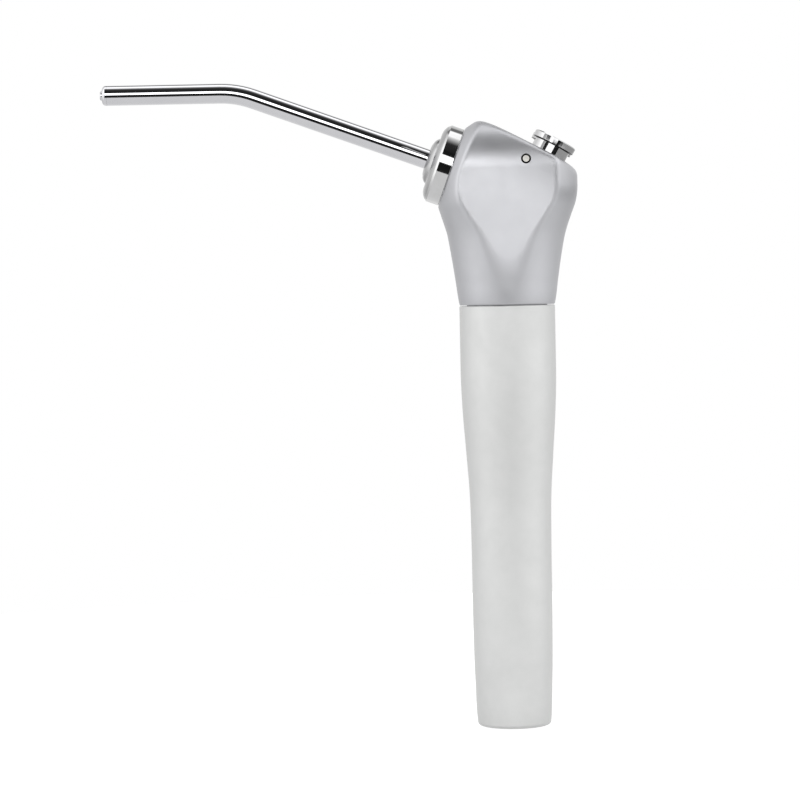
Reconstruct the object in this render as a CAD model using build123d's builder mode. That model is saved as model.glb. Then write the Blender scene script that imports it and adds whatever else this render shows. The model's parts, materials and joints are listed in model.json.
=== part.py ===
"""Three-way (air and water) dental syringe: handle, head, two push-button valves and a bent nozzle.

Frame: millimetres, +Z up along the handle, origin on the handle's axis in the plane of its
lower rim. The nozzle points towards -X, the buttons face +X and up. -Y is the air side,
+Y is the water side.
"""

import os

from build123d import *

# --- driving dimensions -------------------------------------------------------------------

# Handle sleeve
HANDLE_LENGTH = 84.95
HANDLE_GRIP_RADIUS = 8.1
HANDLE_TOP_RADIUS = 9.65
HANDLE_RIM_RADIUS = 7.35
HANDLE_BORE_RADIUS = 6.2
HANDLE_SOCKET_RADIUS = 8.25
HANDLE_SOCKET_START = 70.0

# Head casting
HEAD_BASE = 85.1
HEAD_WIDTH = 21.0
HEAD_MAX_RADIUS = 14.6
SOFT_EDGE = 0.8
CROWN_RADIUS = 9.0
HEEL_RADIUS = 2.5
NOSE = [(8.35, 0.0), (13.0, -3.5), (40.0, -18.0)]
SPIGOT_RADIUS = 8.1
SPIGOT_END = 71.0
ROOF_TILT = 29.0
ARCH_SPRING = 112.3
ARCH_FLAT = 2.0
ARCH_RISE = 10.0

# Buttons and valves: depths are measured from BUTTON_TOP, the level of the cap's rim, down its axis
BUTTON_TOP = (10.2, 117.95)
BUTTON_CROWN = 0.28
BUTTON_SPACING = 9.2
BUTTON_CAP_RADIUS = 4.45
BUTTON_CAP_THICKNESS = 1.25
BUTTON_BODY_RADIUS = 3.65
BUTTON_TRAVEL = 1.8
ROOF_DEPTH = 3.2
VALVE_BORE_RADIUS = 3.7
VALVE_BORE_END = 11.0
SLEEVE_RADIUS = 3.3
SLEEVE_END = 23.0
SLEEVE_BORE_RADIUS = 2.1
SLEEVE_CHAMBER_RADIUS = 2.75
STEM_RADIUS = 2.05
VALVE_PORT = -14.5
STEM_NECK_RADIUS = 1.38
STEM_TOP = -5.0
STEM_RINGS = (12.1, 16.2)
BUTTON_WAIST_CENTRE = 6.51
BUTTON_WAIST_RADIUS = 2.55
BUTTON_FOOT = -9.0
BARB_THREAD_RADIUS = 1.9
BARB_THREAD_LENGTH = 5.0
SPRING_TOP = 17.25
SPRING_BOTTOM = 23.5
SPRING_RADIUS = 2.1
SPRING_WIRE = 0.4

# Retaining pin across the head
PIN_POSITION = (3.9, 114.0)
PIN_RADIUS = 0.95
PIN_LENGTH = 20.8

# Nozzle: distances along its axis are positive in front of the head's face
NOZZLE_RISE = 20.2
FACE_CENTRE = (-10.7, 112.9)
NOZZLE_HEIGHT = 128.7
NOZZLE_END = -80.8
NOZZLE_BEND_RADIUS = 19.0
NOZZLE_RADIUS = 2.0
NOZZLE_BORE_RADIUS = 1.6
NOZZLE_REAR = -8.2
WATER_TUBE_RADIUS = 0.75
WATER_TUBE_BORE = 0.45
WATER_TUBE_REAR = -10.6
TIP_CAP_LENGTH = 1.0
NUT_RADIUS = 8.08
NUT_SHANK_RADIUS = 4.6
SEAT_RADIUS = 3.4

NUT_SHANK_END = -5.4
NUT_GAP = 0.06
COLLET_RADIUS = 3.2
SEAT_FRONT = -6.2
SEAT_REAR = -11.1
AIR_CHAMBER = -8.6
WATER_RING_RADIUS = 1.06

# Radial clearances
RUNNING = 0.05
SNUG = 0.02

# --- directions and planes ----------------------------------------------------------------

BUTTON_UP = Vector(0, 0, 1).rotate(Axis.Y, ROOF_TILT)
NOZZLE_OUT = Vector(-1, 0, 0).rotate(Axis.Y, NOZZLE_RISE)


def turning_plane(origin, axis):
    """Plane for a lathe profile: local x is the radius, local y runs along the axis."""
    return Plane(origin=origin, x_dir=axis.cross(Vector(0, -1, 0)), z_dir=(0, -1, 0))


def turned(plane, outline):
    """Solid of revolution about the plane's y axis from (radius, height) corners."""
    with BuildPart() as piece:
        with BuildSketch(plane):
            with BuildLine():
                Polyline(*outline, close=True)
            make_face()
        revolve(axis=Axis(plane.origin, plane.y_dir))
    return piece


def ring(plane, radius, section, heights):
    """O-rings of one size at the given heights along the plane's y axis."""
    with BuildPart() as piece:
        with BuildSketch(plane):
            with Locations(*[(radius, height) for height in heights]):
                Circle(section)
        revolve(axis=Axis(plane.origin, plane.y_dir))
    return piece


HANDLE_PLANE = turning_plane((0, 0, 0), Vector(0, 0, 1))
NOZZLE_PLANE = turning_plane((FACE_CENTRE[0], 0, FACE_CENTRE[1]), NOZZLE_OUT)
VALVE_PLANES = {
    "air": turning_plane((BUTTON_TOP[0], -BUTTON_SPACING / 2, BUTTON_TOP[1]), BUTTON_UP),
    "water": turning_plane((BUTTON_TOP[0], BUTTON_SPACING / 2, BUTTON_TOP[1]), BUTTON_UP),
}
BARB_OFFSET = {"air": -3.7, "water": 3.7}

parts = {}

# --- handle sleeve: a slim grip that swells towards the head ---------------------------------

with BuildPart() as handle_sleeve:
    with BuildSketch(HANDLE_PLANE):
        with BuildLine():
            top = Line((HANDLE_SOCKET_RADIUS, HANDLE_LENGTH), (HANDLE_TOP_RADIUS, HANDLE_LENGTH))
            shoulder = Line(top @ 1, (HANDLE_TOP_RADIUS, 72.0))
            swell = Spline(
                shoulder @ 1,
                (9.45, 65.0),
                (8.82, 55.4),
                (8.27, 47.0),
                (HANDLE_GRIP_RADIUS, 37.5),
                tangents=[(0, -1), (0, -1)],
            )
            grip = Line(swell @ 1, (HANDLE_GRIP_RADIUS - 0.05, 21.5))
            foot = Spline(grip @ 1, (7.82, 9.0), (HANDLE_RIM_RADIUS, 0.0), tangents=[grip % 1, (-0.14, -1)])
            rim = Line(foot @ 1, (HANDLE_BORE_RADIUS, 0))
            Polyline(
                rim @ 1,
                (HANDLE_BORE_RADIUS, 46),
                (HANDLE_SOCKET_RADIUS - 0.35, 62),
                (HANDLE_SOCKET_RADIUS - 0.35, HANDLE_SOCKET_START),
                (HANDLE_SOCKET_RADIUS, HANDLE_SOCKET_START),
                top @ 0,
            )
        make_face()
    revolve(axis=Axis.Z)
    rim_edges = handle_sleeve.edges().filter_by(GeomType.CIRCLE).filter_by_position(Axis.Z, -0.01, 0.01)
    fillet(rim_edges.sort_by(SortBy.RADIUS)[-1], radius=0.8)
    fillet(rim_edges.sort_by(SortBy.RADIUS)[0], radius=0.3)
    top_edges = handle_sleeve.edges().filter_by(GeomType.CIRCLE).group_by(Axis.Z)[-1]
    chamfer(top_edges, length=0.15)
parts["handle_sleeve"] = handle_sleeve

# --- head casting -------------------------------------------------------------------------

roof_level = Vector(BUTTON_TOP[0], 0, BUTTON_TOP[1]) - BUTTON_UP * ROOF_DEPTH
roof_plane = Plane(origin=roof_level, z_dir=BUTTON_UP)

with BuildPart() as head_body:
    # flared bell turned about the handle's axis
    with BuildSketch(HANDLE_PLANE):
        with BuildLine():
            base = Line((0, HEAD_BASE), (9.5, HEAD_BASE))
            lip = Line(base @ 1, (9.65, HEAD_BASE + 0.2))
            flare = Spline(
                lip @ 1,
                (10.42, 90.4),
                (11.1, 94.8),
                (12.18, 100.0),
                (13.3, 103.25),
                (14.15, 105.6),
                (HEAD_MAX_RADIUS, 109.0),
                tangents=[(0.17, 1), (0, 1)],
            )
            Polyline(flare @ 1, (HEAD_MAX_RADIUS, 130), (0, 130), base @ 0)
        make_face()
    revolve(axis=Axis.Z)
    # flat sides that close in an arch at the top
    with BuildSketch(Plane.YZ.offset(-30)):
        with BuildLine():
            half = HEAD_WIDTH / 2
            wall = Line((half, HEAD_BASE), (half, ARCH_SPRING))
            arch = EllipticalCenterArc(
                (ARCH_FLAT, ARCH_SPRING), half - ARCH_FLAT, ARCH_RISE, start_angle=0, arc_size=90
            )
            crown = Line(arch @ 1, (0, ARCH_SPRING + ARCH_RISE))
            mirror(about=Plane.YZ)
            Line((-half, HEAD_BASE), (half, HEAD_BASE))
        make_face()
    extrude(amount=60, mode=Mode.INTERSECT)
    bell_edges = head_body.edges().filter_by(lambda edge: edge.bounding_box().min.Z > HEAD_BASE + 1)
    fillet(bell_edges.filter_by(lambda edge: edge.bounding_box().size.Z > 0.1), radius=SOFT_EDGE)
    # everything above the sloping button face is removed
    with BuildSketch(roof_plane):
        Rectangle(60, 60)
    extrude(amount=30, mode=Mode.SUBTRACT)
    roof = head_body.faces().filter_by(GeomType.PLANE).sort_by(Axis(roof_level, BUTTON_UP))[-1]
    fillet(roof.edges(), radius=SOFT_EDGE)
    # side view: rounded where the crown falls into the roof and where the roof meets the back
    roof_fall = BUTTON_UP.X / BUTTON_UP.Z
    crown_level = ARCH_SPRING + ARCH_RISE
    knee = (roof_level.X - (crown_level - roof_level.Z) / roof_fall, crown_level)
    heel = (HEAD_MAX_RADIUS, roof_level.Z - (HEAD_MAX_RADIUS - roof_level.X) * roof_fall)
    with BuildSketch(Plane.XZ):
        with BuildLine():
            back = FilletPolyline(
                (-30, crown_level),
                knee,
                heel,
                (HEAD_MAX_RADIUS, HEAD_BASE - 1),
                radius=[CROWN_RADIUS, HEEL_RADIUS],
            )
            Polyline(back @ 1, (-30, HEAD_BASE - 1), back @ 0)
        make_face()
    extrude(amount=HEAD_WIDTH, both=True, mode=Mode.INTERSECT)
    # nose turned about the nozzle's axis: a cone that leans back from the nut's seat
    with BuildSketch(NOZZLE_PLANE):
        with BuildLine():
            Polyline((0, 0), *NOSE, (40, -60), (0, -60), close=True)
        make_face()
    revolve(axis=Axis(NOZZLE_PLANE.origin, NOZZLE_PLANE.y_dir), mode=Mode.INTERSECT)
    nose_faces = head_body.faces().filter_by(GeomType.CONE).filter_by(lambda face: face.center().X < -2)
    nose_edges = nose_faces.edges().filter_by(lambda edge: edge.geom_type != GeomType.CIRCLE)
    fillet(nose_edges.filter_by(lambda edge: edge.center().Z > 95), radius=SOFT_EDGE)
    # spigot that carries the handle, with a groove for its O-ring
    with BuildSketch(HANDLE_PLANE):
        with BuildLine():
            Polyline(
                (0, HEAD_BASE + 1),
                (SPIGOT_RADIUS, HEAD_BASE + 1),
                (SPIGOT_RADIUS, 78.6),
                (SPIGOT_RADIUS - 0.8, 78.6),
                (SPIGOT_RADIUS - 0.8, 77.2),
                (SPIGOT_RADIUS, 77.2),
                (SPIGOT_RADIUS, SPIGOT_END + 0.5),
                (SPIGOT_RADIUS - 0.5, SPIGOT_END),
                (0, SPIGOT_END),
                close=True,
            )
        make_face()
    revolve(axis=Axis.Z)
    # stepped bore of each valve: button guide above, valve sleeve below
    for side, plane in VALVE_PLANES.items():
        with BuildSketch(plane):
            with BuildLine():
                Polyline(
                    (0, 5),
                    (VALVE_BORE_RADIUS, 5),
                    (VALVE_BORE_RADIUS, -VALVE_BORE_END),
                    (SLEEVE_RADIUS, -VALVE_BORE_END),
                    (SLEEVE_RADIUS, -SLEEVE_END - 0.6),
                    (0, -SLEEVE_END - 0.6),
                    close=True,
                )
            make_face()
        revolve(axis=Axis(plane.origin, plane.y_dir), mode=Mode.SUBTRACT)
    # nozzle socket: threaded mouth for the lock nut, then the pocket of the nozzle seat
    with BuildSketch(NOZZLE_PLANE):
        with BuildLine():
            Polyline(
                (0, 1),
                (NUT_SHANK_RADIUS + RUNNING, 1),
                (NUT_SHANK_RADIUS + RUNNING, SEAT_FRONT),
                (SEAT_RADIUS, SEAT_FRONT),
                (SEAT_RADIUS, SEAT_REAR - SNUG),
                (0, SEAT_REAR - SNUG),
                close=True,
            )
        make_face()
    revolve(axis=Axis(NOZZLE_PLANE.origin, NOZZLE_PLANE.y_dir), mode=Mode.SUBTRACT)
    # drilled passages: from each hose barb up to its valve, and from each valve to the seat
    air_port = NOZZLE_PLANE.from_local_coords((0, AIR_CHAMBER, 0))
    water_port = NOZZLE_PLANE.from_local_coords((0, SEAT_REAR, 0))
    passages = [(air_port, VALVE_PLANES["air"], 0.7), (water_port, VALVE_PLANES["water"], 0.6)]
    for start, plane, radius in passages:
        run = plane.from_local_coords((0, VALVE_PORT, 0)) - start
        with BuildSketch(Plane(origin=start, z_dir=run)):
            Circle(radius)
        extrude(amount=run.length - STEM_RADIUS, mode=Mode.SUBTRACT)
    for y in BARB_OFFSET.values():
        with BuildSketch(Plane.XY.offset(SPIGOT_END)):
            with Locations((0, y)):
                Circle(BARB_THREAD_RADIUS)
        extrude(amount=BARB_THREAD_LENGTH, mode=Mode.SUBTRACT)
        with BuildSketch(Plane.XY.offset(SPIGOT_END)):
            with Locations((0, y)):
                Circle(1.0)
        extrude(amount=26, mode=Mode.SUBTRACT)
    # cross hole of the retaining pin
    with BuildSketch(Plane.XZ):
        with Locations(PIN_POSITION):
            Circle(PIN_RADIUS + RUNNING)
    extrude(amount=HEAD_WIDTH, both=True, mode=Mode.SUBTRACT)
parts["head_body"] = head_body

# --- retaining pin: crosses both valve bores and keeps the buttons in --------------------------

with BuildPart() as button_pin:
    with BuildSketch(Plane.XZ):
        with Locations(PIN_POSITION):
            Circle(PIN_RADIUS)
    extrude(amount=PIN_LENGTH / 2, both=True)
    chamfer(button_pin.edges().filter_by(GeomType.CIRCLE), length=0.28)
parts["button_pin"] = button_pin

# --- handle O-ring: holds the sleeve on the head's spigot ---------------------------------------

parts["handle_o_ring"] = ring(HANDLE_PLANE, SPIGOT_RADIUS - 0.32, 0.45, [77.9])

# --- hose barbs: brass inlets screwed into the spigot, inside the handle ------------------------

for side, y in BARB_OFFSET.items():
    barb_plane = turning_plane((0, y, 0), Vector(0, 0, 1))
    tooth = 1.8
    teeth = []
    for step in range(3):
        foot = 60.6 + step * tooth
        teeth += [(1.35, foot), (1.85, foot + tooth - 0.25), (1.35, foot + tooth - 0.25)]
    barb = turned(
        barb_plane,
        [(0.8, 60.0), (1.15, 60.0)]
        + teeth
        + [
            (1.35, 69.0),
            (2.5, 69.0),
            (2.5, SPIGOT_END - SNUG),
            (BARB_THREAD_RADIUS - RUNNING, SPIGOT_END - SNUG),
            (BARB_THREAD_RADIUS - RUNNING, SPIGOT_END + BARB_THREAD_LENGTH - 0.2),
            (0.8, SPIGOT_END + BARB_THREAD_LENGTH - 0.2),
        ],
    )
    parts[f"{side}_hose_barb"] = barb

# --- the two push-button valves -------------------------------------------------------------

groove_top = -(BUTTON_WAIST_CENTRE - PIN_RADIUS - BUTTON_TRAVEL - 0.1)
groove_foot = -(BUTTON_WAIST_CENTRE + PIN_RADIUS + SNUG)
for side, plane in VALVE_PLANES.items():
    turn_axis = Axis(plane.origin, plane.y_dir)
    # button: domed cap, guided body and the waist that the pin runs in
    with BuildPart() as button:
        with BuildSketch(plane):
            with BuildLine():
                dome = ThreePointArc((0, BUTTON_CROWN), (2.1, 0.22), (BUTTON_CAP_RADIUS - 0.2, 0.03))
                Polyline(
                    dome @ 1,
                    (BUTTON_CAP_RADIUS, -0.17),
                    (BUTTON_CAP_RADIUS - 0.07, -BUTTON_CAP_THICKNESS),
                    (BUTTON_BODY_RADIUS - 0.2, -BUTTON_CAP_THICKNESS),
                    (BUTTON_BODY_RADIUS - 0.2, -BUTTON_CAP_THICKNESS - 0.2),
                    (BUTTON_BODY_RADIUS, -BUTTON_CAP_THICKNESS - 0.2),
                    (BUTTON_BODY_RADIUS, groove_top),
                    (BUTTON_WAIST_RADIUS, groove_top),
                    (BUTTON_WAIST_RADIUS, groove_foot),
                    (BUTTON_BODY_RADIUS, groove_foot),
                    (BUTTON_BODY_RADIUS, BUTTON_FOOT),
                    (STEM_NECK_RADIUS + SNUG, BUTTON_FOOT),
                    (STEM_NECK_RADIUS + SNUG, STEM_TOP + SNUG),
                    (0, STEM_TOP + SNUG),
                    dome @ 0,
                )
            make_face()
        revolve(axis=turn_axis)
    parts[f"{side}_button"] = button
    # stem: spool with two O-ring grooves, its neck pressed into the button
    parts[f"{side}_valve_stem"] = turned(
        plane,
        [
            (0, STEM_TOP),
            (STEM_NECK_RADIUS, STEM_TOP),
            (STEM_NECK_RADIUS, -11.3),
            (STEM_RADIUS, -11.3),
            (STEM_RADIUS, -STEM_RINGS[0] + 0.4),
            (STEM_NECK_RADIUS, -STEM_RINGS[0] + 0.4),
            (STEM_NECK_RADIUS, -STEM_RINGS[0] - 0.4),
            (STEM_RADIUS, -STEM_RINGS[0] - 0.4),
            (STEM_RADIUS, -13.2),
            (1.0, -13.4),
            (1.0, -15.4),
            (STEM_RADIUS, -15.6),
            (STEM_RADIUS, -STEM_RINGS[1] + 0.4),
            (STEM_NECK_RADIUS, -STEM_RINGS[1] + 0.4),
            (STEM_NECK_RADIUS, -STEM_RINGS[1] - 0.4),
            (STEM_RADIUS, -STEM_RINGS[1] - 0.4),
            (STEM_RADIUS, -SPRING_TOP + 0.25),
            (1.2, -SPRING_TOP + 0.25),
            (1.0, -18.6),
            (0, -18.6),
        ],
    )
    parts[f"{side}_stem_o_rings"] = ring(plane, 1.74, 0.34, [-depth for depth in STEM_RINGS])
    # sleeve: brass bush the stem slides in, open below into the spring chamber
    with BuildPart() as sleeve:
        outer = SLEEVE_RADIUS - SNUG
        with BuildSketch(plane):
            with BuildLine():
                Polyline(
                    (SLEEVE_BORE_RADIUS, -VALVE_BORE_END - 0.1),
                    (outer, -VALVE_BORE_END - 0.1),
                    (outer, VALVE_PORT + 0.8),
                    (outer - 0.4, VALVE_PORT + 0.8),
                    (outer - 0.4, VALVE_PORT - 0.8),
                    (outer, VALVE_PORT - 0.8),
                    (outer, -SLEEVE_END),
                    (SLEEVE_CHAMBER_RADIUS, -SLEEVE_END),
                    (SLEEVE_CHAMBER_RADIUS, -16.9),
                    (SLEEVE_BORE_RADIUS, -16.7),
                    close=True,
                )
            make_face()
        revolve(axis=turn_axis)
        port = plane.from_local_coords((0, VALVE_PORT, 0))
        for direction in (plane.x_dir, plane.z_dir):
            with BuildSketch(Plane(origin=port, z_dir=direction)):
                Circle(0.5)
            extrude(amount=SLEEVE_RADIUS, both=True, mode=Mode.SUBTRACT)
    parts[f"{side}_valve_sleeve"] = sleeve
    # return spring under the stem
    with BuildPart() as spring:
        coil_height = SPRING_BOTTOM - SPRING_TOP - SPRING_WIRE
        foot = plane.from_local_coords((0, -SPRING_BOTTOM + SPRING_WIRE / 2, 0))
        with BuildLine() as coil:
            Helix(coil_height / 5.5, coil_height, SPRING_RADIUS, center=foot, direction=plane.y_dir)
        with BuildSketch(Plane(origin=coil.line @ 0, z_dir=coil.line % 0)):
            Circle(SPRING_WIRE / 2)
        sweep(path=coil.line)
    parts[f"{side}_spring"] = spring

# --- nozzle seat and seals inside the head ----------------------------------------------------

with BuildPart() as nozzle_seat:
    with BuildSketch(NOZZLE_PLANE):
        with BuildLine():
            Polyline(
                (NOZZLE_RADIUS + 0.95, SEAT_FRONT - SNUG),
                (SEAT_RADIUS - SNUG, SEAT_FRONT - SNUG),
                (SEAT_RADIUS - SNUG, AIR_CHAMBER + 0.6),
                (SEAT_RADIUS - 0.4, AIR_CHAMBER + 0.6),
                (SEAT_RADIUS - 0.4, AIR_CHAMBER - 0.6),
                (SEAT_RADIUS - SNUG, AIR_CHAMBER - 0.6),
                (SEAT_RADIUS - SNUG, SEAT_REAR),
                (0.6, SEAT_REAR),
                (0.6, SEAT_REAR + 0.4),
                (WATER_RING_RADIUS + 0.32, SEAT_REAR + 0.4),
                (WATER_RING_RADIUS + 0.32, SEAT_REAR + 1.2),
                (WATER_TUBE_RADIUS + RUNNING, SEAT_REAR + 1.2),
                (WATER_TUBE_RADIUS + RUNNING, AIR_CHAMBER - 0.6),
                (NOZZLE_RADIUS + RUNNING, AIR_CHAMBER - 0.2),
                (NOZZLE_RADIUS + RUNNING, SEAT_FRONT - 1.1),
                (NOZZLE_RADIUS + 0.95, SEAT_FRONT - 1.1),
                close=True,
            )
        make_face()
    revolve(axis=Axis(NOZZLE_PLANE.origin, NOZZLE_PLANE.y_dir))
    for direction in (NOZZLE_PLANE.x_dir, NOZZLE_PLANE.z_dir):
        with BuildSketch(Plane(origin=air_port, z_dir=direction)):
            Circle(0.45)
        extrude(amount=SEAT_RADIUS, both=True, mode=Mode.SUBTRACT)
parts["nozzle_seat"] = nozzle_seat
parts["nozzle_air_o_ring"] = ring(NOZZLE_PLANE, NOZZLE_RADIUS + 0.49, 0.44, [SEAT_FRONT - 0.55])
parts["nozzle_water_o_ring"] = ring(NOZZLE_PLANE, WATER_RING_RADIUS, 0.29, [SEAT_REAR + 0.75])

# --- lock nut, its friction ring and the collet that the nozzle turns in ------------------------

with BuildPart() as lock_nut:
    with BuildSketch(NOZZLE_PLANE):
        with BuildLine():
            flange = Polyline(
                (COLLET_RADIUS + RUNNING, NUT_SHANK_END),
                (NUT_SHANK_RADIUS, NUT_SHANK_END),
                (NUT_SHANK_RADIUS, -2.0),
                (NUT_SHANK_RADIUS - 0.6, -2.0),
                (NUT_SHANK_RADIUS - 0.6, -0.9),
                (NUT_SHANK_RADIUS, -0.9),
                (NUT_SHANK_RADIUS, NUT_GAP),
                (NUT_RADIUS - 0.1, NUT_GAP),
                (NUT_RADIUS, NUT_GAP + 0.1),
                (NUT_RADIUS, 2.68),
            )
            brow = RadiusArc(flange @ 1, (5.85, 4.0), -2.9)
            step = Line(brow @ 1, (4.75, 4.0))
            collar = RadiusArc(step @ 1, (3.45, 5.0), -1.9)
            lip = RadiusArc(collar @ 1, (2.35, 5.25), -3.0)
            Polyline(
                lip @ 1,
                (NOZZLE_RADIUS + RUNNING, 5.05),
                (NOZZLE_RADIUS + RUNNING, 3.6),
                (COLLET_RADIUS + RUNNING, 2.6),
                flange @ 0,
            )
        make_face()
    revolve(axis=Axis(NOZZLE_PLANE.origin, NOZZLE_PLANE.y_dir))
parts["lock_nut"] = lock_nut
parts["nut_o_ring"] = ring(NOZZLE_PLANE, NUT_SHANK_RADIUS - 0.28, 0.3, [-1.45])

collet_inner = NOZZLE_RADIUS + SNUG
parts["nozzle_collet"] = turned(
    NOZZLE_PLANE,
    [
        (collet_inner, SEAT_FRONT + RUNNING),
        (COLLET_RADIUS, SEAT_FRONT + RUNNING),
        (COLLET_RADIUS, 0.6),
        (collet_inner + 0.45, 1.4),
        (collet_inner, 1.4),
    ],
)

# --- bent nozzle: air tube with the water tube inside it ---------------------------------------


def nozzle_path(rear, front):
    """Centre line of the nozzle from a point on the seat's axis to an X position at the tip."""
    start = NOZZLE_PLANE.from_local_coords((0, rear, 0))
    rise = NOZZLE_HEIGHT - start.Z
    corner = start + NOZZLE_OUT * (rise / NOZZLE_OUT.Z)
    tip = Vector(front, 0, NOZZLE_HEIGHT)
    with BuildLine() as centre:
        FilletPolyline(start, corner, tip, radius=NOZZLE_BEND_RADIUS)
    return centre.line


def bent_tube(rear, front, outer, inner):
    """Tube of the given radii swept along the nozzle's centre line."""
    path = nozzle_path(rear, front)
    with BuildPart() as tube:
        with BuildSketch(Plane(origin=path @ 0, z_dir=path % 0)):
            Circle(outer)
            Circle(inner, mode=Mode.SUBTRACT)
        sweep(path=path)
    return tube


parts["nozzle_tube"] = bent_tube(
    NOZZLE_REAR, NOZZLE_END + TIP_CAP_LENGTH + SNUG, NOZZLE_RADIUS, NOZZLE_BORE_RADIUS
)
parts["water_tube"] = bent_tube(
    WATER_TUBE_REAR, NOZZLE_END + 0.3, WATER_TUBE_RADIUS, WATER_TUBE_BORE
)

# tip cap: rounded end plug, centre jet for water and a ring of air holes
with BuildPart() as tip_cap:
    tip_plane = turning_plane((NOZZLE_END, 0, NOZZLE_HEIGHT), Vector(-1, 0, 0))
    with BuildSketch(tip_plane):
        with BuildLine():
            jet = Polyline((WATER_TUBE_BORE, 0.4), (0.8, 0.4), (1.0, 0.2), (1.0, 0), (1.25, 0))
            corner = RadiusArc(jet @ 1, (NOZZLE_RADIUS, -0.75), 0.75)
            Polyline(
                corner @ 1,
                (NOZZLE_RADIUS, -TIP_CAP_LENGTH),
                (NOZZLE_BORE_RADIUS - SNUG, -TIP_CAP_LENGTH),
                (NOZZLE_BORE_RADIUS - SNUG, -3.0),
                (WATER_TUBE_RADIUS + SNUG, -3.0),
                (WATER_TUBE_RADIUS + SNUG, -0.28),
                (WATER_TUBE_BORE, -0.28),
                jet @ 0,
            )
        make_face()
    revolve(axis=Axis(tip_plane.origin, tip_plane.y_dir))
    with BuildSketch(Plane(origin=tip_plane.origin, z_dir=(1, 0, 0))):
        with PolarLocations(1.25, 6):
            Circle(0.2)
    extrude(amount=3.5, both=True, mode=Mode.SUBTRACT)
parts["tip_cap"] = tip_cap

if __name__ == "__main__":
    os.makedirs("parts", exist_ok=True)
    for name, piece in parts.items():
        piece.part.label = name
        export_step(piece.part, f"parts/{name}.step")
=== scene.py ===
"""Looks of the three-way dental syringe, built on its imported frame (metres)."""

import json
import math

import bmesh
import bpy
import numpy as np
from mathutils import Matrix, Vector


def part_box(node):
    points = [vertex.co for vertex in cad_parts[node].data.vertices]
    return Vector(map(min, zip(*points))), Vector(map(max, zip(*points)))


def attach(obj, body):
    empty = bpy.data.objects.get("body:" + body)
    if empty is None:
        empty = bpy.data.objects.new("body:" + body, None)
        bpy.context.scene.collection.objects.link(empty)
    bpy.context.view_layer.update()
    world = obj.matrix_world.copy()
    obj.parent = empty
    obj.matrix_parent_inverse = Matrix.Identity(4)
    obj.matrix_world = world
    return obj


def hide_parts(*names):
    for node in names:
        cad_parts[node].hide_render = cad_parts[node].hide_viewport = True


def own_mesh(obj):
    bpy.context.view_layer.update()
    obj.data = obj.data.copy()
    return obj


MM = 0.001

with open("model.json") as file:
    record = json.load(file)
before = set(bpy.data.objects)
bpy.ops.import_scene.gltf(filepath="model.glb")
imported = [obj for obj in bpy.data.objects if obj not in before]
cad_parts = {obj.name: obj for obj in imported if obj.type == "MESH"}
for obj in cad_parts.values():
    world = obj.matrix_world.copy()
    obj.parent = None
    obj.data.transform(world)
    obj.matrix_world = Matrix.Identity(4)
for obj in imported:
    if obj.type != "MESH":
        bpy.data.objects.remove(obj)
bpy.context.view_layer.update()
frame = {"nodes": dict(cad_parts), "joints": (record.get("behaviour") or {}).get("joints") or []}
nodes = frame["nodes"]

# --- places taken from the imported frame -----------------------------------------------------

joints = {joint["name"]: joint for joint in frame["joints"]}
BUTTON_UP = -Vector(joints["air_button_press"]["axis"]).normalized()
NOZZLE_OUT = Vector(joints["lock_nut_turn"]["axis"]).normalized()
FACE = Vector(joints["lock_nut_turn"]["pos_m"])
# Depth of the middle of a stem's O-rings below the rim of its button's cap, in millimetres
STEM_RINGS_DEPTH = 14.15


def centre(node):
    """Middle of a node's box, in metres."""
    low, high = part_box(node)
    return (low + high) / 2


# Level of the cap's rim, on the air button's axis
BUTTON_LEVEL = centre("air_stem_o_rings") + BUTTON_UP * STEM_RINGS_DEPTH * MM

# --- camera -------------------------------------------------------------------------------

CAMERA_AT = Vector((-0.0216, -0.6, 0.0871))
CAMERA_LENS = 133.65
CAMERA_PITCH = math.radians(1.99)
CAMERA_ROLL = math.radians(1.12)

camera = bpy.data.objects.new("camera", bpy.data.cameras.new("camera"))
bpy.context.scene.collection.objects.link(camera)
camera.data.lens = CAMERA_LENS
camera.data.clip_start = 0.01
camera.data.clip_end = 50
level_up = Vector((math.sin(CAMERA_ROLL), 0, math.cos(CAMERA_ROLL)))
right = Vector((math.cos(CAMERA_ROLL), 0, -math.sin(CAMERA_ROLL)))
up = level_up * math.cos(CAMERA_PITCH) + Vector((0, math.sin(CAMERA_PITCH), 0))
back = right.cross(up)
rotation = Matrix((right, up, back)).transposed()
camera.matrix_world = Matrix.Translation(CAMERA_AT) @ rotation.to_4x4()
bpy.context.scene.camera = camera

# --- node helpers -------------------------------------------------------------------------

# Most of a noise texture lies between these values
NOISE_LOW = 0.3
NOISE_HIGH = 0.7


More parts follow.
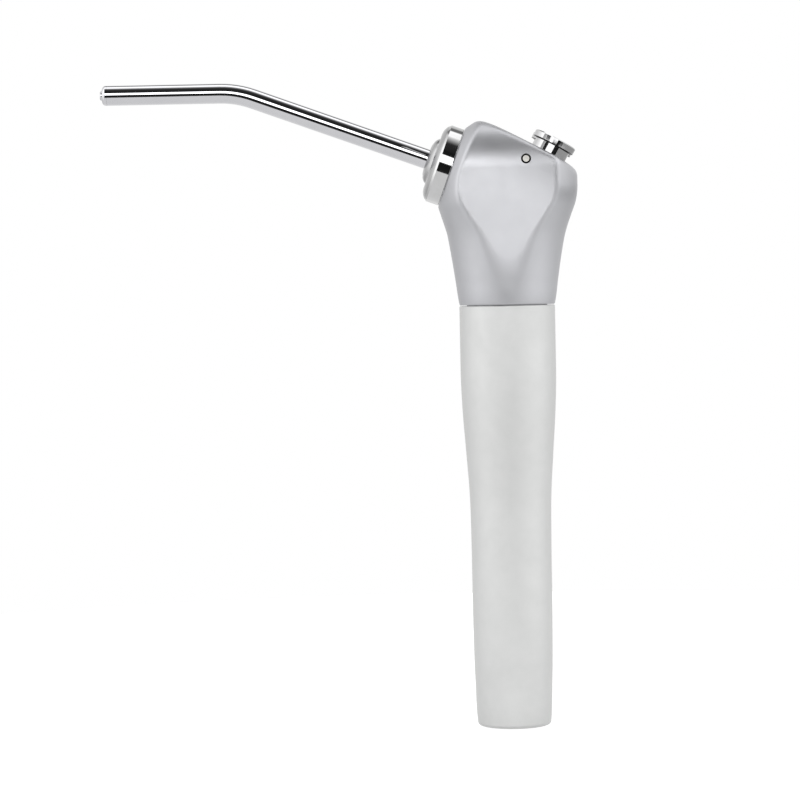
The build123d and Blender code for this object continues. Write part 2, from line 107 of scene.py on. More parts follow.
class Tree:
    """Short calls for building a node tree."""

    def __init__(self, tree):
        self.tree = tree
        tree.nodes.clear()

    def node(self, kind, **settings):
        made = self.tree.nodes.new(kind)
        for key, value in settings.items():
            setattr(made, key, value)
        return made

    def link(self, source, target):
        self.tree.links.new(source, target)

    def math(self, operation, first, second=None, third=None):
        made = self.node("ShaderNodeMath", operation=operation)
        for socket, value in zip(made.inputs, (first, second, third)):
            if value is None:
                continue
            if isinstance(value, (int, float)):
                socket.default_value = value
            else:
                self.link(value, socket)
        return made.outputs[0]

    def ramp(self, source, stops, interpolation="LINEAR"):
        made = self.node("ShaderNodeValToRGB")
        made.color_ramp.interpolation = interpolation
        elements = made.color_ramp.elements
        while len(elements) < len(stops):
            elements.new(0.5)
        for element, (position, value) in zip(elements, stops):
            element.position = position
            colour = value if hasattr(value, "__len__") else (value,) * 3
            element.color = (*colour, 1)
        self.link(source, made.inputs["Fac"])
        return made.outputs["Color"]

    def span(self, source, start, end):
        """0 at start, 1 at end, smooth between."""
        made = self.node("ShaderNodeMapRange", interpolation_type="SMOOTHSTEP")
        made.inputs["From Min"].default_value = start
        made.inputs["From Max"].default_value = end
        self.link(source, made.inputs["Value"])
        return made.outputs[0]

    def noise(self, scale_mm, stretch=(1, 1, 1), detail=3.0, roughness=0.55):
        """Noise whose features are about scale_mm long, in the piece's own frame."""
        coordinates = self.node("ShaderNodeTexCoord")
        mapping = self.node("ShaderNodeMapping")
        mapping.inputs["Scale"].default_value = [s / (scale_mm * MM) for s in stretch]
        noise = self.node("ShaderNodeTexNoise")
        noise.inputs["Scale"].default_value = 1.0
        noise.inputs["Detail"].default_value = detail
        noise.inputs["Roughness"].default_value = roughness
        self.link(coordinates.outputs["Object"], mapping.inputs["Vector"])
        self.link(mapping.outputs["Vector"], noise.inputs["Vector"])
        return noise.outputs["Fac"]


def finish_of(
    name,
    metallic,
    light,
    dark,
    patch_mm,
    rough,
    rough_mm,
    grain_mm,
    grain_depth,
    stretch=(1, 1, 1),
    zone=None,
    zone_tint=1.0,
    zone_rough=0.0,
):
    """A procedural surface: two tones in soft patches, uneven roughness and a fine grain in relief.

    A zone is a function from the tree to a 0-1 mask, where the tint and the roughness change; on
    the buttons and the pin its tint is painted shade.
    """
    material = bpy.data.materials.new(name)
    material.use_nodes = True
    tree = Tree(material.node_tree)
    output = tree.node("ShaderNodeOutputMaterial")
    shader = tree.node("ShaderNodeBsdfPrincipled")
    shader.inputs["Metallic"].default_value = metallic
    tree.link(shader.outputs[0], output.inputs["Surface"])
    colour = tree.ramp(tree.noise(patch_mm), [(NOISE_LOW, dark), (NOISE_HIGH, light)])
    spread = tree.node("ShaderNodeMapRange")
    spread.inputs["From Min"].default_value = NOISE_LOW
    spread.inputs["From Max"].default_value = NOISE_HIGH
    spread.inputs["To Min"].default_value = rough[0]
    spread.inputs["To Max"].default_value = rough[1]
    tree.link(tree.noise(rough_mm, stretch), spread.inputs["Value"])
    roughness = spread.outputs[0]
    if zone:
        mask = zone(tree)
        tinted = tree.node("ShaderNodeMix", data_type="RGBA", blend_type="MULTIPLY")
        tree.link(mask, tinted.inputs["Factor"])
        tree.link(colour, tinted.inputs["A"])
        tinted.inputs["B"].default_value = (zone_tint, zone_tint, zone_tint, 1)
        colour = tinted.outputs["Result"]
        roughness = tree.math("MULTIPLY_ADD", mask, zone_rough, roughness)
    tree.link(colour, shader.inputs["Base Color"])
    tree.link(roughness, shader.inputs["Roughness"])
    bump = tree.node("ShaderNodeBump")
    bump.inputs["Strength"].default_value = 1.0
    bump.inputs["Distance"].default_value = grain_depth * MM
    tree.link(tree.noise(grain_mm, stretch, detail=2.0), bump.inputs["Height"])
    tree.link(bump.outputs[0], shader.inputs["Normal"])
    return material


def offset_from(tree, point):
    """Way from a point to the place that is shaded."""
    offset = tree.node("ShaderNodeVectorMath", operation="SUBTRACT")
    tree.link(tree.node("ShaderNodeTexCoord").outputs["Object"], offset.inputs[0])
    offset.inputs[1].default_value = point
    return offset.outputs[0]


def along(point, axis, start_mm, end_mm):
    """Mask that goes from 0 to 1 between two heights above a point, along an axis."""

    def mask(tree):
        height = tree.node("ShaderNodeVectorMath", operation="DOT_PRODUCT")
        tree.link(offset_from(tree, point), height.inputs[0])
        height.inputs[1].default_value = axis
        return tree.span(height.outputs["Value"], start_mm * MM, end_mm * MM)

    return mask


def between(point, axis, low_mm, high_mm, edge_mm):
    """Mask that is 1 between two heights above a point, along an axis."""

    def mask(tree):
        above = along(point, axis, low_mm - edge_mm, low_mm)(tree)
        beyond = along(point, axis, high_mm, high_mm + edge_mm)(tree)
        return tree.math("SUBTRACT", above, beyond)

    return mask


def around(point, axis, start_mm, end_mm):
    """Mask that goes from 0 to 1 between two distances from an axis through a point."""

    def mask(tree):
        crossed = tree.node("ShaderNodeVectorMath", operation="CROSS_PRODUCT")
        tree.link(offset_from(tree, point), crossed.inputs[0])
        crossed.inputs[1].default_value = axis
        distance = tree.node("ShaderNodeVectorMath", operation="LENGTH")
        tree.link(crossed.outputs[0], distance.inputs[0])
        return tree.span(distance.outputs["Value"], start_mm * MM, end_mm * MM)

    return mask


FINISHES = {
    "anodised": finish_of(
        "anodised",
        metallic=1.0,
        light=(0.48, 0.483, 0.48),
        dark=(0.468, 0.471, 0.468),
        patch_mm=9,
        rough=(0.55, 0.61),
        rough_mm=3,
        grain_mm=0.25,
        grain_depth=0.006,
    ),
    "satin": finish_of(
        "satin",
        metallic=1.0,
        light=(0.375, 0.377, 0.392),
        dark=(0.362, 0.364, 0.379),
        patch_mm=7,
        rough=(0.42, 0.46),
        rough_mm=2.5,
        grain_mm=0.22,
        grain_depth=0.005,
    ),
    "chrome": finish_of(
        "chrome",
        metallic=1.0,
        light=(0.475, 0.475, 0.49),
        dark=(0.455, 0.455, 0.47),
        patch_mm=6,
        rough=(0.03, 0.07),
        rough_mm=4,
        grain_mm=0.8,
        grain_depth=0.0004,
    ),
    # The nut's front collar, past its polished flange, is satin
    "nut_chrome": finish_of(
        "nut_chrome",
        metallic=1.0,
        light=(0.45, 0.45, 0.455),
        dark=(0.42, 0.42, 0.42),
        patch_mm=2,
        rough=(0.03, 0.07),
        rough_mm=1.5,
        grain_mm=0.5,
        grain_depth=0.0004,
        zone=along(FACE, NOZZLE_OUT, 3.05, 3.12),
        zone_tint=0.7,
        zone_rough=0.15,
    ),
    # Chrome with painted shade: the groove under a button's cap is painted near black, standing in
    # for its shadow
    "button_chrome": finish_of(
        "button_chrome",
        metallic=1.0,
        light=(0.46, 0.46, 0.465),
        dark=(0.42, 0.42, 0.42),
        patch_mm=1.2,
        rough=(0.05, 0.12),
        rough_mm=1,
        grain_mm=0.4,
        grain_depth=0.0003,
        # This band is painted shade, near black, in the groove under the cap
        zone=between(BUTTON_LEVEL, BUTTON_UP, -1.48, -1.24, 0.01),
        zone_tint=0.05,
        zone_rough=0.3,
    ),
    # The pin's end is painted near black outside its middle: painted shade standing in for the
    # shadow of the gap round it in its hole
    "pin_steel": finish_of(
        "pin_steel",
        metallic=1.0,
        light=(0.42, 0.41, 0.385),
        dark=(0.33, 0.32, 0.30),
        patch_mm=0.5,
        rough=(0.25, 0.4),
        rough_mm=0.4,
        grain_mm=0.12,
        grain_depth=0.003,
        # Outside this ring the pin's end is painted near black: painted shade of the gap round it
        zone=around(centre("button_pin"), (0, 1, 0), 0.62, 0.68),
        zone_tint=0.03,
        zone_rough=0.2,
    ),
    "steel": finish_of(
        "steel",
        metallic=1.0,
        light=(0.60, 0.60, 0.60),
        dark=(0.50, 0.50, 0.50),
        patch_mm=0.5,
        rough=(0.22, 0.36),
        rough_mm=0.4,
        grain_mm=0.12,
        grain_depth=0.003,
    ),
    "brass": finish_of(
        "brass",
        metallic=1.0,
        light=(0.80, 0.61, 0.30),
        dark=(0.70, 0.50, 0.24),
        patch_mm=1.5,
        rough=(0.2, 0.38),
        rough_mm=0.8,
        grain_mm=0.15,
        grain_depth=0.002,
    ),
    "rubber": finish_of(
        "rubber",
        metallic=0.0,
        light=(0.022, 0.022, 0.024),
        dark=(0.012, 0.012, 0.013),
        patch_mm=1,
        rough=(0.5, 0.7),
        rough_mm=0.6,
        grain_mm=0.1,
        grain_depth=0.004,
    ),
    "nylon": finish_of(
        "nylon",
        metallic=0.0,
        light=(0.72, 0.71, 0.66),
        dark=(0.66, 0.65, 0.60),
        patch_mm=2,
        rough=(0.4, 0.55),
        rough_mm=0.8,
        grain_mm=0.15,
        grain_depth=0.003,
    ),
}

NODE_FINISH = {
    "handle_sleeve": "anodised",
    "head_body": "satin",
    "lock_nut": "nut_chrome",
    "nozzle_tube": "chrome",
    "tip_cap": "chrome",
    "water_tube": "chrome",
    "button_pin": "pin_steel",
    "nozzle_seat": "brass",
    "nozzle_collet": "nylon",
    "handle_o_ring": "rubber",
    "nut_o_ring": "rubber",
    "nozzle_air_o_ring": "rubber",
    "nozzle_water_o_ring": "rubber",
}
for side in ("air", "water"):
    NODE_FINISH[f"{side}_button"] = "button_chrome"
    NODE_FINISH[f"{side}_valve_stem"] = "steel"
    NODE_FINISH[f"{side}_stem_o_rings"] = "rubber"
    NODE_FINISH[f"{side}_valve_sleeve"] = "brass"
    NODE_FINISH[f"{side}_spring"] = "steel"
    NODE_FINISH[f"{side}_hose_barb"] = "brass"

for node, finish in NODE_FINISH.items():
    mesh = nodes[node].data
    mesh.materials.clear()
    mesh.materials.append(FINISHES[finish])

# --- mesh helpers ---------------------------------------------------------------------------

SHARP_ANGLE = math.radians(35)


def across(axis):
    """Two unit vectors square to an axis and to each other."""
    aside = Vector((1, 0, 0)) if abs(axis.y) > 0.9 else Vector((0, 1, 0))
    first = axis.cross(aside).normalized()
    return first, axis.cross(first).normalized()


def piece(name, points, faces, finish=None):
    """A new smooth-shaded object from metres and face corners, its faces turned outwards."""
    mesh = bpy.data.meshes.new(name)
    mesh.from_pydata([tuple(p) for p in points], [], faces)
    shape = bmesh.new()
    shape.from_mesh(mesh)
    bmesh.ops.recalc_face_normals(shape, faces=shape.faces)
    shape.to_mesh(mesh)
    shape.free()
    mesh.shade_smooth()
    made = bpy.data.objects.new(name, mesh)
    bpy.context.scene.collection.objects.link(made)
    if finish:
        mesh.materials.append(FINISHES[finish])
    return made


def grid_faces(rows, columns):
    """Quads between rows of points that go round."""
    faces = []
    for start in range(0, (rows - 1) * columns, columns):
        above = start + columns
        for column in range(columns):
            after = (column + 1) % columns
            faces.append((start + column, start + after, above + after, above + column))
    return faces


def lathe(name, origin, axis, outline, steps=96):
    """Closed turned solid from (radius, height) corners in mm, the first and last on the axis."""
    first, second = across(axis)
    points = []
    rims = outline[1:-1]
    for radius, height in rims:
        for step in range(steps):
            turn = math.tau * step / steps
            spoke = first * math.cos(turn) + second * math.sin(turn)
            points.append(origin + axis * (height * MM) + spoke * (radius * MM))
    faces = grid_faces(len(rims), steps)
    for (_, height), rim, flip in ((outline[0], 0, True), (outline[-1], len(rims) - 1, False)):
        hub = len(points)
        points.append(origin + axis * (height * MM))
        for step in range(steps):
            after = (step + 1) % steps
            corner = (rim * steps + step, rim * steps + after, hub)
            faces.append(corner[::-1] if flip else corner)
    return piece(name, points, faces)


def curve_through(knots, first_slope=None):
    """Radius at a height, smooth through (height, radius) knots in mm and level at the end."""
    heights = np.array([height for height, _ in knots])
    radii = np.array([radius for _, radius in knots])
    slopes = np.gradient(radii, heights)
    slopes[-2:] = 0.0
    if first_slope is not None:
        slopes[0] = first_slope

    def radius_at(z):
        index = np.clip(np.searchsorted(heights, z) - 1, 0, len(heights) - 2)
        span = heights[index + 1] - heights[index]
        t = np.clip((z - heights[index]) / span, 0, 1)
        start, end = radii[index], radii[index + 1]
        lean, lean_end = slopes[index] * span, slopes[index + 1] * span
        return (
            start * (2 * t**3 - 3 * t**2 + 1)
            + lean * (t**3 - 2 * t**2 + t)
            + end * (3 * t**2 - 2 * t**3)
            + lean_end * (t**3 - t**2)
        )

    return radius_at


def arc(radius, height, size, start, end, steps=10):
    """(radius, height) corners on a round edge about a centre, between two angles in degrees."""
    turns = [math.radians(start + (end - start) * step / steps) for step in range(steps + 1)]
    return [(radius + size * math.cos(turn), height + size * math.sin(turn)) for turn in turns]


# --- handle: the sleeve turned again with an even, fine surface ---------------------------------

# Places on the sleeve as (height above its foot, radius), in millimetres
GRIP = [
    (0.0, 7.35),
    (9.0, 7.82),
    (21.5, 8.05),
    (37.5, 8.1),
    (47.0, 8.27),
    (55.4, 8.82),
    (65.0, 9.45),
    (72.0, 9.65),
    (84.95, 9.65),
]
GRIP_FOOT_SLOPE = 0.14
GRIP_ROWS = 140
RIM_ROUND = 0.8
BORE_RADIUS = 6.2
BORE_ROUND = 0.3
BORE_END = 46.0
SOCKET_WAIST = 7.9
SOCKET_WAIST_END = 62.0
SOCKET_RADIUS = 8.25
SOCKET_START = 70.0
TOP_CHAMFER = 0.15
HANDLE_STEPS = 192


def handle_skin():
    """The sleeve as a closed ring-shaped solid about the handle's axis."""
    low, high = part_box("handle_sleeve")
    foot = Vector(((low.x + high.x) / 2, (low.y + high.y) / 2, low.z))
    top, top_radius = GRIP[-1]
    grip_radius = curve_through(GRIP, GRIP_FOOT_SLOPE)
    outline = arc(grip_radius(RIM_ROUND) - RIM_ROUND, RIM_ROUND, RIM_ROUND, -90, 0)[:-1]
    heights = np.linspace(RIM_ROUND, top - TOP_CHAMFER, GRIP_ROWS)
    outline += [(float(grip_radius(z)), z) for z in heights]
    outline += [(top_radius - TOP_CHAMFER, top), (SOCKET_RADIUS + TOP_CHAMFER, top)]
    outline += [(SOCKET_RADIUS, top - TOP_CHAMFER), (SOCKET_RADIUS, SOCKET_START)]
    outline += [(SOCKET_WAIST, SOCKET_START), (SOCKET_WAIST, SOCKET_WAIST_END)]
    outline += [(BORE_RADIUS, BORE_END)]
    outline += arc(BORE_RADIUS + BORE_ROUND, BORE_ROUND, BORE_ROUND, -180, -90)
    points = []
    for radius, height in outline:
        for step in range(HANDLE_STEPS):
            turn = math.tau * step / HANDLE_STEPS
            place = Vector((radius * math.cos(turn), radius * math.sin(turn), height))
            points.append(foot + place * MM)
    faces = grid_faces(len(outline), HANDLE_STEPS)
    last = (len(outline) - 1) * HANDLE_STEPS
    for step in range(HANDLE_STEPS):
        after = (step + 1) % HANDLE_STEPS
        faces.append((last + step, last + after, after, step))
    return piece("handle_skin", points, faces, "anodised")


sleeve = handle_skin()
sleeve.data.set_sharp_from_angle(angle=SHARP_ANGLE)
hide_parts("handle_sleeve")
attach(sleeve, "syringe_body")

# --- head: one soft-edged skin over the head casting ------------------------------------------

HEAD_COLUMNS = 480
HEAD_FOOT = 85.3
HEAD_CENTRE = 107.0
NECK_ROWS = 130
CROWN_ROWS = 110
LONGEST_RAY = 24.0
HALVINGS = 22
# Places on the flare as (height in the frame, radius), in millimetres
FLARE = [
    (85.1, 9.6),
    (85.3, 9.65),
    (90.4, 10.42),
    (94.8, 11.1),
    (100.0, 12.18),
    (103.25, 13.3),
    (105.6, 14.15),
    (109.0, 14.6),
    (135.0, 14.6),
]
ARCH_SPRING = 112.3
ARCH_FLAT = 2.0
ROOF_UNDER_BUTTON = 3.2
# Corners of the nose as (radius, height) about the nozzle's axis: flat face, cone and skirt
NOSE = ((8.35, 0.0), (13.0, -3.5), (40.0, -18.0))
FACE_SOFTNESS = 0.25
SIDE_SOFTNESS = 0.55
NOSE_SOFTNESS = 0.5
ROOF_SOFTNESS = 1.15
# These keep a division from reaching zero at the arch's middle
TINY_REACH = 1e-9
LEAST_STEEP = 0.05


def smooth_max(first, second, reach):
    """Larger of two distances, with the edge between them rounded over."""
    blend = np.maximum(reach - np.abs(first - second), 0) / reach
    return np.maximum(first, second) + blend * blend * reach / 4


head_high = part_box("head_body")[1]
half_width = head_high.y / MM
arch_rise = head_high.z / MM - ARCH_SPRING
flare_radius = curve_through(FLARE)
roof_point = np.array(BUTTON_LEVEL - BUTTON_UP * ROOF_UNDER_BUTTON * MM) / MM
roof_point[1] = 0.0
roof_normal = np.array(BUTTON_UP)
nose_point = np.array(FACE) / MM
nose_axis = np.array(NOZZLE_OUT)


def head_distance(points):
    """Signed distance in millimetres from the head's outside, below zero inside the metal."""
    x, y, z = points.T
    flare = np.hypot(x, y) - flare_radius(z)
    side = np.abs(y)
    over = np.maximum(side - ARCH_FLAT, 0) / (half_width - ARCH_FLAT)
    above = np.maximum(z - ARCH_SPRING, 0) / arch_rise
    reach = np.hypot(over, above) + TINY_REACH
    steep = np.hypot(over / (half_width - ARCH_FLAT), above / arch_rise) / reach
    sides = (reach - 1) / np.maximum(steep, LEAST_STEEP)
    roof = (points - roof_point) @ roof_normal
    from_face = points - nose_point
    ahead = from_face @ nose_axis
    spread = np.linalg.norm(from_face - np.outer(ahead, nose_axis), axis=1)
    (r0, h0), (r1, h1), (r2, h2) = NOSE
    lean = (h0 - h1) / (r1 - r0)
    cone = (ahead - h0 + lean * (spread - r0)) / math.hypot(1, lean)
    lean = (h1 - h2) / (r2 - r1)
    skirt = (ahead - h1 + lean * (spread - r1)) / math.hypot(1, lean)
    nose = smooth_max(ahead, np.minimum(cone, skirt), FACE_SOFTNESS)
    body = smooth_max(flare, sides, SIDE_SOFTNESS)
    body = smooth_max(body, nose, NOSE_SOFTNESS)
    return smooth_max(body, roof, ROOF_SOFTNESS)


# Spigot below the head, inside the handle, as (radius, height) with a groove for its O-ring
SPIGOT_RADIUS = 8.1
SPIGOT_FOOT = 71.0
SPIGOT_CHAMFER = 0.5
GROOVE_RADIUS = 7.3
GROOVE_FOOT = 77.2
GROOVE_TOP = 78.6
SHOULDER = 85.1
SHOULDER_RADIUS = 9.5
SPIGOT = [
    (SPIGOT_RADIUS - SPIGOT_CHAMFER, SPIGOT_FOOT),
    (SPIGOT_RADIUS, SPIGOT_FOOT + SPIGOT_CHAMFER),
    (SPIGOT_RADIUS, GROOVE_FOOT),
    (GROOVE_RADIUS, GROOVE_FOOT),
    (GROOVE_RADIUS, GROOVE_TOP),
    (SPIGOT_RADIUS, GROOVE_TOP),
    (SPIGOT_RADIUS, SHOULDER),
    (SHOULDER_RADIUS, SHOULDER),
]


def head_skin():
    """Rays out from the head's middle find the surface; rows of them make the mesh."""
    turns = np.arange(HEAD_COLUMNS) * math.tau / HEAD_COLUMNS
    rows = []
    for z in np.linspace(HEAD_FOOT, HEAD_CENTRE, NECK_ROWS, endpoint=False):
        rows.append((z, 0.0))
    for rise in np.linspace(0, math.pi / 2, CROWN_ROWS, endpoint=False):
        rows.append((HEAD_CENTRE, rise))
    starts, ways = [], []
    for z, rise in rows:
        level, lift = math.cos(rise), math.sin(rise)
        for turn in turns:
            starts.append((0, 0, z))
            ways.append((math.cos(turn) * level, math.sin(turn) * level, lift))
    starts.append((0, 0, HEAD_CENTRE))
    ways.append((0, 0, 1))
    starts, ways = np.array(starts, float), np.array(ways, float)
    near, far = np.zeros(len(starts)), np.full(len(starts), LONGEST_RAY)
    for _ in range(HALVINGS):
        middle = (near + far) / 2
        inside = head_distance(starts + ways * middle[:, None]) < 0
        near = np.where(inside, middle, near)
        far = np.where(inside, far, middle)
    surface = starts + ways * ((near + far) / 2)[:, None]
    rims = [[(r * math.cos(t), r * math.sin(t), z) for t in turns] for r, z in SPIGOT]
    points = np.concatenate([np.array(rims, float).reshape(-1, 3), surface, [(0, 0, SPIGOT_FOOT)]])
    rows_total = len(rims) + len(rows)
    faces = grid_faces(rows_total, HEAD_COLUMNS)
    last = (rows_total - 1) * HEAD_COLUMNS
    foot = len(points) - 1
    top = foot - 1
    for step in range(HEAD_COLUMNS):
        after = (step + 1) % HEAD_COLUMNS
        faces.append((last + step, last + after, top))
        faces.append((after, step, foot))
    return piece("head_skin", points * MM, faces, "satin")


def cut(target, cutter):
    """Removes the cutter's volume from the target for good."""
    modifier = target.modifiers.new("cut", "BOOLEAN")
    modifier.operation = "DIFFERENCE"
    modifier.solver = "EXACT"
    modifier.object = cutter
    bpy.context.view_layer.update()
    evaluated = target.evaluated_get(bpy.context.evaluated_depsgraph_get())
    mesh = bpy.data.meshes.new_from_object(evaluated)
    target.modifiers.clear()
    old = target.data
    target.data = mesh
    bpy.data.meshes.remove(old)
    bpy.data.objects.remove(cutter)


def stepped_hole(foot, narrow, step, wide, top):
    """Outline of a hole that is wider above a step, from its foot to its top."""
    return [(0, foot), (narrow, foot), (narrow, step), (wide, step), (wide, top), (0, top)]


# Holes in millimetres: a button bore from the middle of the stem's rings, the mouth from the face
BUTTON_BORE = stepped_hole(foot=-9.45, narrow=3.3, step=3.15, wide=3.7, top=20.0)
MOUTH = stepped_hole(foot=-11.12, narrow=3.4, step=-6.2, wide=4.65, top=2.0)
PIN_HOLE_RADIUS = 1.0
PIN_HOLE_REACH = 12.0
PIN_HOLE = [
    (0, -PIN_HOLE_REACH),
    (PIN_HOLE_RADIUS, -PIN_HOLE_REACH),
    (PIN_HOLE_RADIUS, PIN_HOLE_REACH),
    (0, PIN_HOLE_REACH),
]

head = head_skin()
for side in ("air", "water"):
    cut(head, lathe("bore", centre(f"{side}_stem_o_rings"), BUTTON_UP, BUTTON_BORE))
cut(head, lathe("mouth", FACE, NOZZLE_OUT, MOUTH))
cut(head, lathe("pin_hole", centre("button_pin"), Vector((0, 1, 0)), PIN_HOLE))
head.data.set_sharp_from_angle(angle=SHARP_ANGLE)
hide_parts("head_body")
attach(head, "syringe_body")

# --- springs: their own coils -------------------------------------------------------------------

SPRING_LENGTH = 6.25
SPRING_TURNS = 5.5
SPRING_RADIUS = 2.1
SPRING_WIRE = 0.2
# Depth of the spring's foot below the rim of its button's cap
SPRING_FOOT_DEPTH = 23.5
COIL_ROWS = 260
WIRE_SIDES = 12


def coil(name, foot):
    """Round wire wound up the button's axis from its foot."""
    first, second = across(BUTTON_UP)
    rise = SPRING_LENGTH - 2 * SPRING_WIRE
    points = []
    for row in range(COIL_ROWS):
        share = row / (COIL_ROWS - 1)
        turn = math.tau * SPRING_TURNS * share
        spoke = first * math.cos(turn) + second * math.sin(turn)
        run = first * -math.sin(turn) + second * math.cos(turn)
        middle = foot + (spoke * SPRING_RADIUS + BUTTON_UP * (SPRING_WIRE + rise * share)) * MM
        lift = run.cross(spoke).normalized()
        for step in range(WIRE_SIDES):
            angle = math.tau * step / WIRE_SIDES
            out = spoke * math.cos(angle) + lift * math.sin(angle)
            points.append(middle + out * SPRING_WIRE * MM)
    faces = grid_faces(COIL_ROWS, WIRE_SIDES)
    last = (COIL_ROWS - 1) * WIRE_SIDES
    faces.append(tuple(range(WIRE_SIDES))[::-1])
    faces.append(tuple(last + step for step in range(WIRE_SIDES)))
    return piece(name, points, faces, "steel")


for side in ("air", "water"):
    rings = centre(f"{side}_stem_o_rings")
    foot = rings - BUTTON_UP * (SPRING_FOOT_DEPTH - STEM_RINGS_DEPTH) * MM
    spring = coil(f"{side}_spring_coil", foot)
    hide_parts(f"{side}_spring")
    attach(spring, "syringe_body")
    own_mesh(spring)

# --- studio -------------------------------------------------------------------------------

# Brightness round the object by angle, in degrees from the camera's side over the top to the back
STUDIO = [
    (-180, 1.0),
    (-30, 1.0),
    (-26, 0.03),
    (2, 0.015),
    (5, 6.0),
    (12, 5.5),
    (21, 4.8),
    (25, 0.02),
    (62, 0.05),
    (75, 0.3),
    (84, 0.9),
    (91, 2.4),
    (113, 2.4),
    (119, 0.3),
    (133, 0.3),
    (140, 0.95),
    (180, 1.0),
]
BRIGHTEST = 6.0
# Brightness of the soft boxes at both ends by height, 0 straight down and 1 straight up
SIDE_BOX = [
    (0.0, 1.45),
    (0.38, 1.45),
    (0.48, 1.85),
    (0.5, 2.0),
    (0.78, 2.1),
    (0.93, 2.2),
    (1.0, 1.6),
]
# Share of that brightness by the angle away from the camera's side, in degrees
SIDE_SHARE = [
    (0, 0.5),
    (22, 0.55),
    (40, 0.85),
    (55, 1.15),
    (78, 1.15),
    (100, 0.85),
    (130, 0.6),
    (180, 0.45),
]
MOST_SHARE = 1.2
# How far sideways a direction leans where the bands end and where the boxes are alone
BANDS_END = 0.3
BOXES_START = 0.42

world = bpy.data.worlds.new("studio")
bpy.context.scene.world = world
world.use_nodes = True
tree = Tree(world.node_tree)
coordinates = tree.node("ShaderNodeTexCoord")
axes = tree.node("ShaderNodeSeparateXYZ")
tree.link(coordinates.outputs["Generated"], axes.inputs[0])
toward_camera = tree.math("MULTIPLY", axes.outputs["Y"], -1.0)
angle = tree.math("ARCTAN2", axes.outputs["Z"], toward_camera)
turn = tree.math("MULTIPLY_ADD", angle, 1 / math.tau, 0.5)
bands = tree.ramp(turn, [((a + 180) / 360, value / BRIGHTEST) for a, value in STUDIO])
height = tree.math("MULTIPLY_ADD", axes.outputs["Z"], 0.5, 0.5)
boxes = tree.ramp(height, [(level, value / BRIGHTEST) for level, value in SIDE_BOX])
sideways = tree.math("ABSOLUTE", axes.outputs["X"])
away = tree.math("MULTIPLY", tree.math("ARCTAN2", sideways, toward_camera), 1 / math.pi)
share = tree.ramp(away, [(a / 180, value / MOST_SHARE) for a, value in SIDE_SHARE])
box_light = tree.node("ShaderNodeMix", data_type="RGBA", blend_type="MULTIPLY")
box_light.inputs["Factor"].default_value = 1.0
tree.link(boxes, box_light.inputs["A"])
tree.link(tree.math("MULTIPLY", share, MOST_SHARE), box_light.inputs["B"])
in_boxes = tree.span(sideways, BANDS_END, BOXES_START)
mixed = tree.node("ShaderNodeMix", data_type="RGBA")
tree.link(in_boxes, mixed.inputs["Factor"])
tree.link(bands, mixed.inputs["A"])
tree.link(box_light.outputs["Result"], mixed.inputs["B"])
lit = tree.node("ShaderNodeBackground")
lit.inputs["Strength"].default_value = BRIGHTEST
tree.link(mixed.outputs["Result"], lit.inputs["Color"])
seen = tree.node("ShaderNodeBackground")
seen.inputs["Color"].default_value = (1, 1, 1, 1)
seen.inputs["Strength"].default_value = 1.0
path = tree.node("ShaderNodeLightPath")
choice = tree.node("ShaderNodeMixShader")
tree.link(path.outputs["Is Camera Ray"], choice.inputs[0])
tree.link(lit.outputs[0], choice.inputs[1])
tree.link(seen.outputs[0], choice.inputs[2])
world_output = tree.node("ShaderNodeOutputWorld")
tree.link(choice.outputs[0], world_output.inputs["Surface"])

# A white floor, so that it can't be told from the white behind the object
FLOOR_RADIUS = 0.27
FLOOR_SIDES = 96
FLOOR_DROP = 0.0002
FLOOR_GREY = 0.2
FLOOR_ROUGH = 0.9
FLOOR_GLOW = 0.9
corners = []
for side in range(FLOOR_SIDES):
    turn = math.tau * side / FLOOR_SIDES
    corners.append((FLOOR_RADIUS * math.cos(turn), FLOOR_RADIUS * math.sin(turn), -FLOOR_DROP))
floor_mesh = bpy.data.meshes.new("floor")
floor_mesh.from_pydata(corners, [], [tuple(range(FLOOR_SIDES))])
floor = bpy.data.objects.new("floor", floor_mesh)
bpy.context.scene.collection.objects.link(floor)
floor_material = bpy.data.materials.new("floor")
floor_material.use_nodes = True
tree = Tree(floor_material.node_tree)
floor_shader = tree.node("ShaderNodeBsdfPrincipled")
floor_shader.inputs["Base Color"].default_value = (FLOOR_GREY, FLOOR_GREY, FLOOR_GREY, 1)
floor_shader.inputs["Roughness"].default_value = FLOOR_ROUGH
floor_shader.inputs["Emission Color"].default_value = (1, 1, 1, 1)
floor_shader.inputs["Emission Strength"].default_value = FLOOR_GLOW
floor_output = tree.node("ShaderNodeOutputMaterial")
tree.link(floor_shader.outputs[0], floor_output.inputs["Surface"])
floor_mesh.materials.append(floor_material)


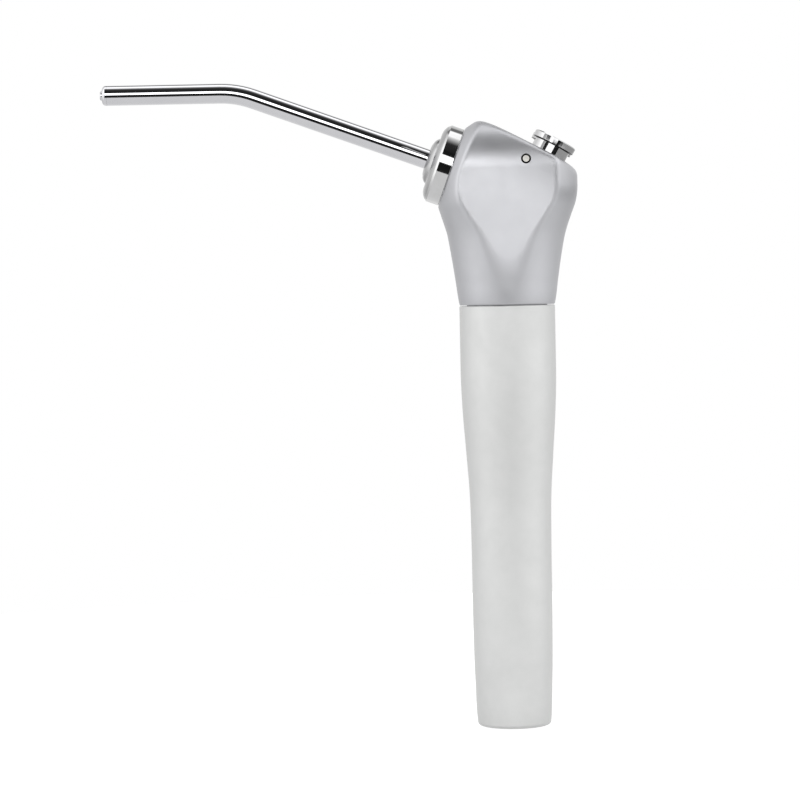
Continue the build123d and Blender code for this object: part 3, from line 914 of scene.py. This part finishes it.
def card(name, points, brightness):
    """Evenly lit strip seen only in reflections, from its points in pairs along it."""
    mesh = bpy.data.meshes.new(name)
    steps = range(0, len(points) - 2, 2)
    mesh.from_pydata([tuple(p) for p in points], [], [(k, k + 1, k + 3, k + 2) for k in steps])
    material = bpy.data.materials.new(name)
    material.use_nodes = True
    tree = Tree(material.node_tree)
    glow = tree.node("ShaderNodeEmission")
    glow.inputs["Strength"].default_value = brightness
    tree.link(glow.outputs[0], tree.node("ShaderNodeOutputMaterial").inputs["Surface"])
    mesh.materials.append(material)
    made = bpy.data.objects.new(name, mesh)
    bpy.context.scene.collection.objects.link(made)
    made.visible_camera = False
    made.visible_shadow = False
    made.visible_diffuse = False


# Small cards close in front of the buttons: from one angle to another about the buttons' axis,
# in degrees from the camera's side, with their brightness
CARDS = [
    (-66, -50, 0.75),
    (-49, -29, 0.02),
    (-28, 11, 2.4),
    (12, 40, 0.02),
    (41, 140, 0.6),
]
CARD_DISTANCE = 0.032
CARD_HALF_HEIGHT = 0.0036
CARD_LIFT = 0.0011
CARD_STEPS = 8
card_level = BUTTON_LEVEL + BUTTON_UP * CARD_LIFT
button_side = Vector((BUTTON_UP.z, 0, -BUTTON_UP.x))
for number, (start, end, brightness) in enumerate(CARDS):
    points = []
    for step in range(CARD_STEPS + 1):
        turn = math.radians(start + (end - start) * step / CARD_STEPS)
        way = Vector((0, -1, 0)) * math.cos(turn) + button_side * math.sin(turn)
        middle = card_level + way * CARD_DISTANCE
        points.append(middle - BUTTON_UP * CARD_HALF_HEIGHT)
        points.append(middle + BUTTON_UP * CARD_HALF_HEIGHT)
    card(f"card_{number}", points, brightness)

# A tall grey flag in front of the handle gives its broad face the darker middle
FLAG_HEIGHTS = (0.026, 0.098)
FLAG_SIDES = (-0.008, 0.013)
FLAG_PLACE = -0.12
FLAG_BRIGHTNESS = 0.3
flag = [(x, FLAG_PLACE, z) for z in FLAG_HEIGHTS for x in FLAG_SIDES]
card("flag", flag, FLAG_BRIGHTNESS)

bpy.context.scene.view_settings.view_transform = "Standard"
